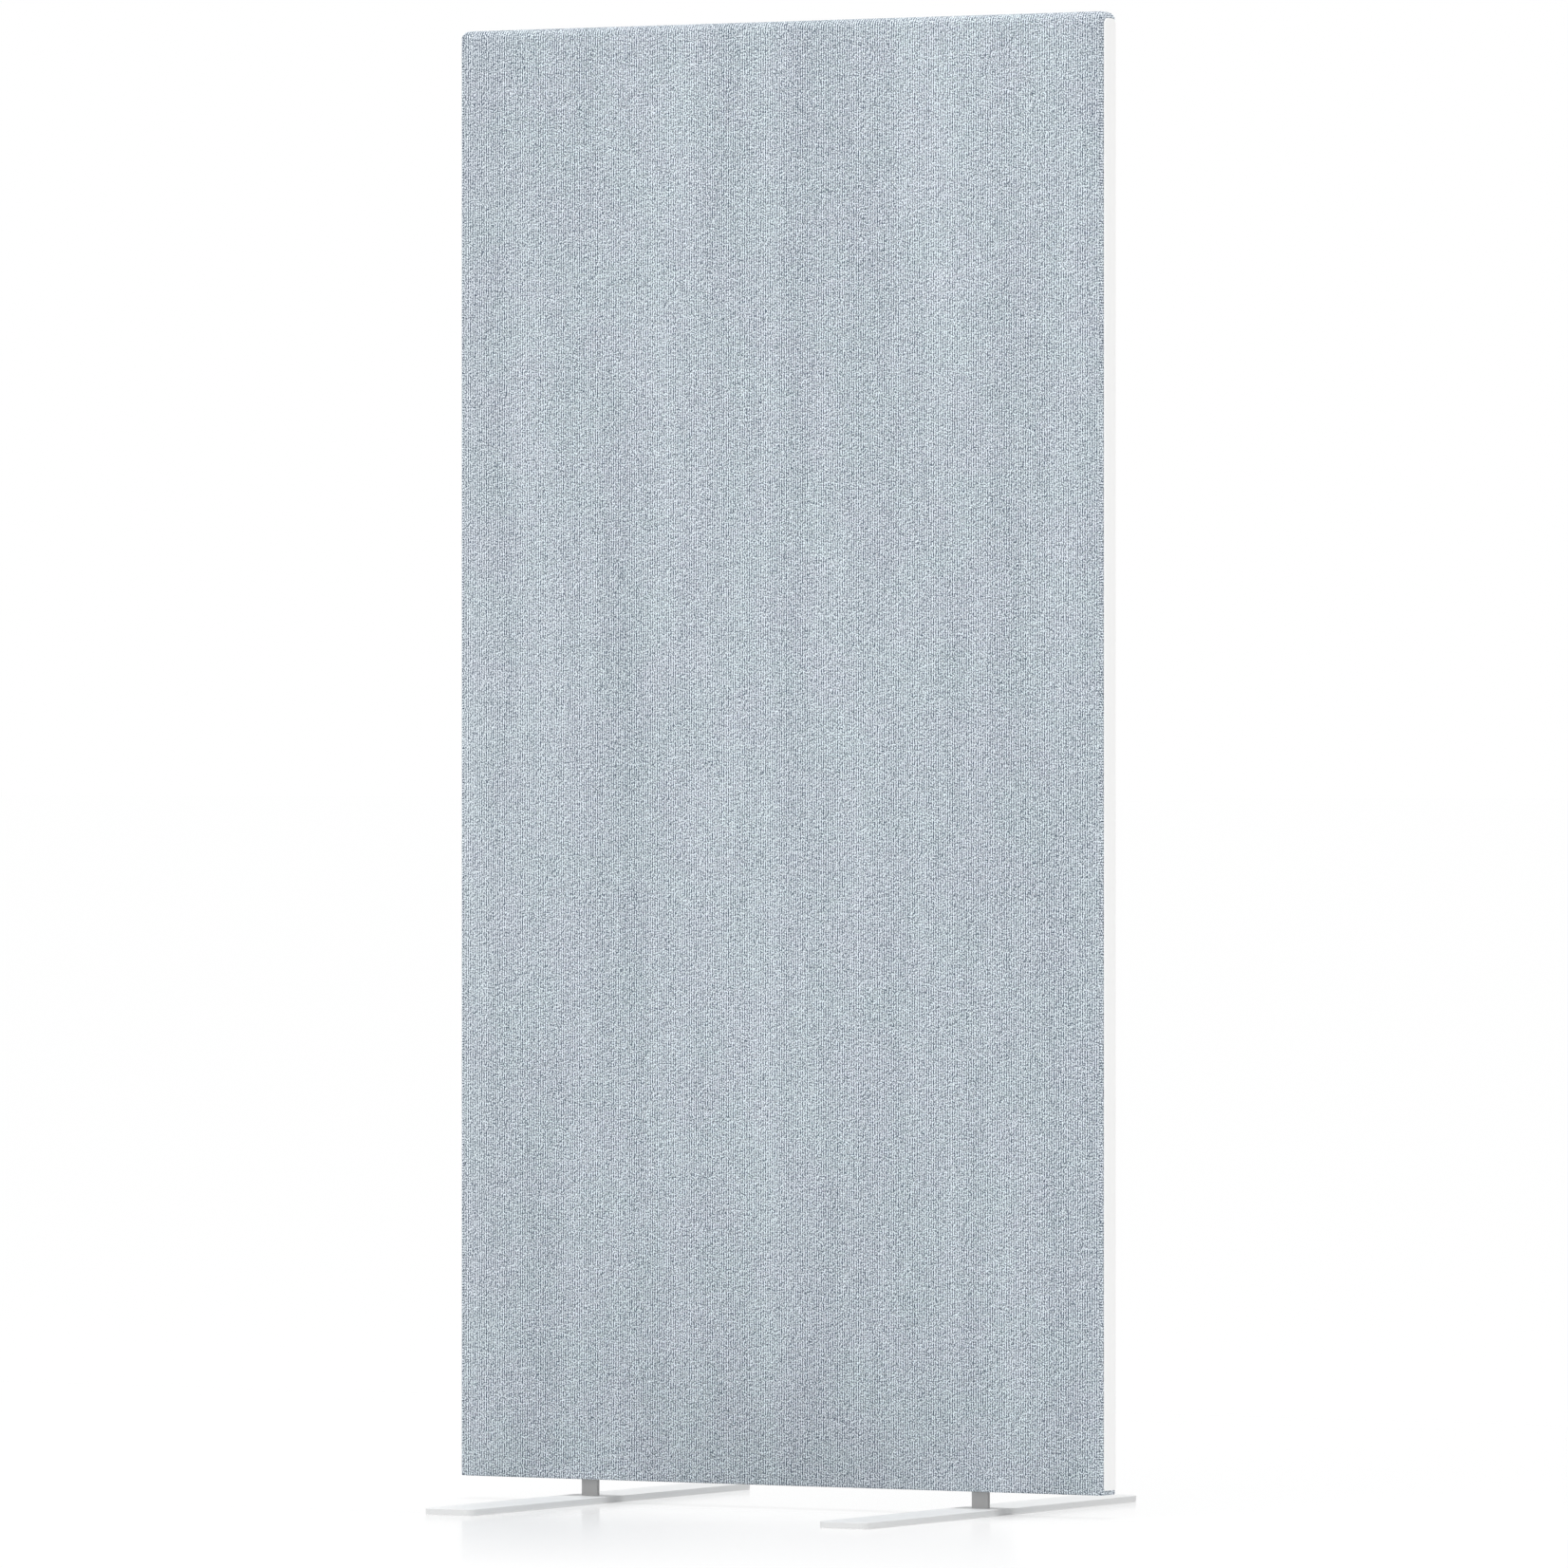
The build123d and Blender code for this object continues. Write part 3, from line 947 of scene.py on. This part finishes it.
class SCREEN_OT_fittings(bpy.types.Operator):
    """Finish the sockets, screws and staples"""

    bl_idname = "screen_build.fittings"
    bl_label = "Fittings"

    def execute(self, context):
        sides = ("left", "right")
        steel = [f"{side}_{part}" for side in sides for part in ("foot_socket", "socket_screws")]
        dress(steel + ["cover_staples"], zinc_finish("zinc_plate"))
        return {"FINISHED"}


class SCREEN_OT_filling(bpy.types.Operator):
    """Fill the panel with felt and lay wadding over the frame"""

    bl_idname = "screen_build.filling"
    bl_label = "Filling"

    def execute(self, context):
        parts = context.scene.screen_parts
        felt = fibre_finish("needled_felt", parts.felt[:], (0.42, 0.42, 0.43), 900.0)
        fleece = fibre_finish("carded_fleece", parts.fleece[:], (0.92, 0.92, 0.90), 600.0)
        for node in ("upper_infill", "lower_infill"):
            filling_slab(node, felt, 6.0 * MM)
        for node in ("front_wadding", "back_wadding"):
            filling_slab(node, fleece, 1.2 * MM)
        return {"FINISHED"}


SLAB_CUTS = 30
LUMP_SHARE = 0.12  # the depth of the hollows in a slab's face, as a share of its thickness
COARSE_LUMPS, FINE_LUMPS = 35.0, 110.0  # to a metre
SLAB_CREASE = 60.0  # degrees at which a slab stops looking smooth


def filling_slab(node, material, rounding):
    """A soft slab in the place of a CAD node: rounded edges and an uneven fibrous face."""
    low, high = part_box(node)
    bpy.ops.object.select_all(action="DESELECT")
    middle, thickness = (low + high) / 2, high.y - low.y
    bpy.ops.mesh.primitive_cube_add(size=1.0, location=middle)
    piece = bpy.context.object
    piece.name = f"{node}_slab"
    piece.data.name = piece.name
    piece.scale = high - low
    bpy.ops.object.transform_apply(location=True, rotation=True, scale=True)
    bpy.ops.object.mode_set(mode="EDIT")
    bpy.ops.mesh.select_all(action="SELECT")
    bpy.ops.mesh.subdivide(number_cuts=SLAB_CUTS)
    bpy.ops.object.mode_set(mode="OBJECT")
    curve_in, curve = TOP - TOP_ROUND - MM, TOP_ROUND - MM
    for vertex in piece.data.vertices:
        place = vertex.co
        inner = Vector(min(max(place[i], low[i] + rounding), high[i] - rounding) for i in range(3))
        if inner != place:
            place = inner + (place - inner).normalized() * rounding
        coarse, fine = noise.noise(place * COARSE_LUMPS), noise.noise(place * FINE_LUMPS)
        thin = LUMP_SHARE * thickness * max(0.0, 0.5 + 0.5 * coarse + 0.3 * fine)
        place.y += math.copysign(thin, middle.y - place.y)
        # What reaches the top stays inside the cover's rounded edges
        if place.z > curve_in:
            reach = math.sqrt(max(0.0, curve ** 2 - (place.z - curve_in) ** 2))
            limit = HALF_THICKNESS - TOP_ROUND + reach
            place.y = max(-limit, min(limit, place.y))
        vertex.co = place
    bpy.ops.object.shade_smooth_by_angle(angle=math.radians(SLAB_CREASE))
    piece.data.materials.append(material)
    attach(piece, "panel")
    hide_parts(node)


# Stage


class SCREEN_OT_stage(bpy.types.Operator):
    """Lay the pale floor, light it and place the camera"""

    bl_idname = "screen_build.stage"
    bl_label = "Stage"

    def execute(self, context):
        stage = context.scene.screen_stage
        lay_floor(stage)
        light_sky(stage)
        hang_lamps(stage)
        place_camera(context.scene)
        context.scene.view_settings.view_transform = "Standard"
        return {"FINISHED"}


FLOOR_SIZE = 400.0

# The floor's shine. Its edges are pairs of metres, from where it is nothing to where it is full
ACROSS_VIEW = (0.866, 0.5)  # how far x and y run along the photograph's width
SHINE_EDGE = (0.25, 0.22)  # across the view, in front of the panel
SHINE_GROWTH, FIRST_SHINE = (0.0, -0.28), 0.42  # from this share to the full, across the view
FRONT_EDGE = (0.02, 0.14)  # where the floor counts as in front of the panel
BACK_EDGE = (3.5, 1.5)  # behind the panel
SHINE_START, SHINE_RISE = 1.08, 0.446  # how far in front it starts, and its share to a metre
MOST_SHINE = 0.42
SHINE_ROUGHNESS = 0.15

# The duller floor between the feet and beside them, as edges of the same kind
OFF_PLATE, DULL_ALONG, DULL_AWAY = (0.03, 0.09), (0.41, 0.35), (0.36, 0.16)

SHADOW_GREY, SHADOW_SHARE = (0.78, 0.78, 0.78), 0.24
WHITE = (1.0, 1.0, 1.0)


def lay_floor(stage):
    """A wide white floor that shows faint shadows and a fading reflection."""
    bpy.ops.object.select_all(action="DESELECT")
    bpy.ops.mesh.primitive_plane_add(size=FLOOR_SIZE)
    floor = bpy.context.object
    floor.name = "studio_floor"
    finish = Finish("studio_floor")
    here = finish.node("ShaderNodeTexCoord", outputs=("Object",))
    x, y = finish.node("ShaderNodeSeparateXYZ", None, {0: here}, outputs=("X", "Y"))
    # The reflection is strongest at the left of the panel and gone a metre in front of it
    across_view = x * ACROSS_VIEW[0] + y * ACROSS_VIEW[1]
    growth = across_view.between(*SHINE_GROWTH) * (1.0 - FIRST_SHINE) + FIRST_SHINE
    sideways = growth * across_view.between(*SHINE_EDGE)
    in_front = (-y).between(*FRONT_EDGE)
    near = ((y + SHINE_START) * SHINE_RISE).least(MOST_SHINE) * y.between(*BACK_EDGE)
    polished = near.held() * (1.0 - in_front * (1.0 - sideways))
    looking = finish.node("ShaderNodeLightPath", outputs=("Is Camera Ray",))
    # The floor round the feet throws less light back, so the panel darkens towards its foot
    off_plates = abs(abs(x) - FOOT_MIDDLE).between(*OFF_PLATE) * abs(x).between(*DULL_ALONG)
    beside = off_plates * abs(y).between(*DULL_AWAY)
    far_floor = finish.diffuse(stage.floor_colour[:])
    near_floor = finish.diffuse(stage.near_floor_colour[:])
    plain = finish.mixed_shader(beside, far_floor, near_floor)
    glow = finish.node("ShaderNodeEmission", None, {"Color": WHITE, "Strength": 1.0})
    shadow = finish.diffuse(SHADOW_GREY)
    gloss = {"Color": WHITE, "Roughness": SHINE_ROUGHNESS}
    polish = finish.node("ShaderNodeBsdfGlossy", None, gloss, outputs=("BSDF",))
    shaded = finish.mixed_shader(SHADOW_SHARE, glow, shadow)
    shown = finish.mixed_shader(polished, shaded, polish)
    finish.show(finish.mixed_shader(looking, plain, shown))
    floor.data.materials.append(finish.material)
    # A foot that is pulled out stays on the floor, so the floor is never above the lower foot
    for body in ("foot_left", "foot_right"):
        under = floor.constraints.new("FLOOR")
        under.target = frame["bodies"][body]
        under.floor_location = "FLOOR_NEGATIVE_Z"


def light_sky(stage):
    """Soft even light from all round, seen as plain white by the camera and in gloss."""
    world = bpy.data.worlds.new("studio_sky")
    bpy.context.scene.world = world
    sky = NodeTree(world, "ShaderNodeOutputWorld")
    rays = ("Is Camera Ray", "Is Glossy Ray", "Is Transmission Ray")
    camera, glossy, through = sky.node("ShaderNodeLightPath", outputs=rays)
    seen = camera.most(glossy).most(through)
    levels = {"Factor_Float": seen, "A_Float": stage.sky_level, "B_Float": 1.0}
    level = sky.node("ShaderNodeMix", {"data_type": "FLOAT"}, levels)
    values = {"Color": WHITE, "Strength": level}
    sky.show(sky.node("ShaderNodeBackground", None, values, outputs=("Background",)))


OVERHEAD_ANGLE = 0.8  # degrees, which sets how soft its shadows are


def hang_lamps(stage):
    """Large soft lamps high in front, low in front and on the right, and a sun overhead."""
    # Name, place, height that it points at over the origin, size and power
    lamps = (
        ("key_lamp", (-0.8, -4.2, 4.6), 0.8, (4.0, 2.5), stage.key_level),
        ("front_lamp", (-1.0, -5.0, 1.2), 0.5, (4.0, 2.0), stage.front_level),
        ("side_lamp", (4.5, -1.0, 1.6), 0.8, (3.0, 3.0), stage.side_level),
    )
    for name, place, aim, size, power in lamps:
        lamp = bpy.data.lights.new(name, "AREA")
        lamp.shape = "RECTANGLE"
        lamp.size, lamp.size_y = size
        lamp.energy = power
        hung = bpy.data.objects.new(name, lamp)
        hung.location = place
        towards = Vector((0.0, 0.0, aim)) - hung.location
        hung.rotation_euler = towards.to_track_quat("-Z", "Y").to_euler()
        bpy.context.scene.collection.objects.link(hung)
    overhead = bpy.data.lights.new("overhead_lamp", "SUN")
    overhead.energy = stage.overhead_level
    overhead.angle = math.radians(OVERHEAD_ANGLE)
    hung = bpy.data.objects.new("overhead_lamp", overhead)
    hung.location = (0.0, 0.0, 5.0)
    bpy.context.scene.collection.objects.link(hung)


CAMERA_PLACE = (7.095, -12.289, 0.8125)
CAMERA_LENS, CAMERA_SENSOR = 302.7, 36.0  # millimetres
CAMERA_TURN, CAMERA_DIP = 30.0, 0.133  # degrees
CAMERA_REACH = 500.0  # past the floor's far edge


def place_camera(scene):
    """The photograph's view: 30 degrees round from the front, far off at mid height."""
    camera = bpy.data.cameras.new("camera")
    camera.lens = CAMERA_LENS
    camera.sensor_width = CAMERA_SENSOR
    camera.clip_end = CAMERA_REACH
    camera_object = bpy.data.objects.new("camera", camera)
    camera_object.location = CAMERA_PLACE
    tip, turn = math.radians(90.0 - CAMERA_DIP), math.radians(CAMERA_TURN)
    camera_object.rotation_euler = (tip, 0.0, turn)
    scene.collection.objects.link(camera_object)
    scene.camera = camera_object


class SCREEN_PT_panel(bpy.types.Panel):
    """The screen's sizes, colours and steps"""

    bl_idname = "SCREEN_PT_panel"
    bl_label = "Floor Screen"
    bl_space_type = "VIEW_3D"
    bl_region_type = "UI"
    bl_category = "Floor Screen"

    def draw(self, context):
        layout = self.layout
        scene = context.scene
        for group in (scene.screen_cloth, scene.screen_parts, scene.screen_stage):
            box = layout.box()
            for name in group.bl_rna.properties.keys():
                if name not in ("name", "rna_type"):
                    box.prop(group, name)
        for step in STEPS:
            layout.operator(step.bl_idname)


STEPS = (
    SCREEN_OT_cover_cloth,
    SCREEN_OT_side_bands,
    SCREEN_OT_edge_strips,
    SCREEN_OT_feet,
    SCREEN_OT_timber_frame,
    SCREEN_OT_fittings,
    SCREEN_OT_filling,
    SCREEN_OT_stage,
)
CLASSES = (SCREEN_PG_cloth, SCREEN_PG_parts, SCREEN_PG_stage, *STEPS, SCREEN_PT_panel)


def register():
    for each in CLASSES:
        bpy.utils.register_class(each)
    bpy.types.Scene.screen_cloth = bpy.props.PointerProperty(type=SCREEN_PG_cloth)
    bpy.types.Scene.screen_parts = bpy.props.PointerProperty(type=SCREEN_PG_parts)
    bpy.types.Scene.screen_stage = bpy.props.PointerProperty(type=SCREEN_PG_stage)


def unregister():
    del bpy.types.Scene.screen_cloth
    del bpy.types.Scene.screen_parts
    del bpy.types.Scene.screen_stage
    for each in reversed(CLASSES):
        bpy.utils.unregister_class(each)


def main():
    register()
    bpy.ops.screen_build.cover_cloth()
    bpy.ops.screen_build.side_bands()
    bpy.ops.screen_build.edge_strips()
    bpy.ops.screen_build.feet()
    bpy.ops.screen_build.timber_frame()
    bpy.ops.screen_build.fittings()
    bpy.ops.screen_build.filling()
    bpy.ops.screen_build.stage()


if __name__ == "__main__":
    main()
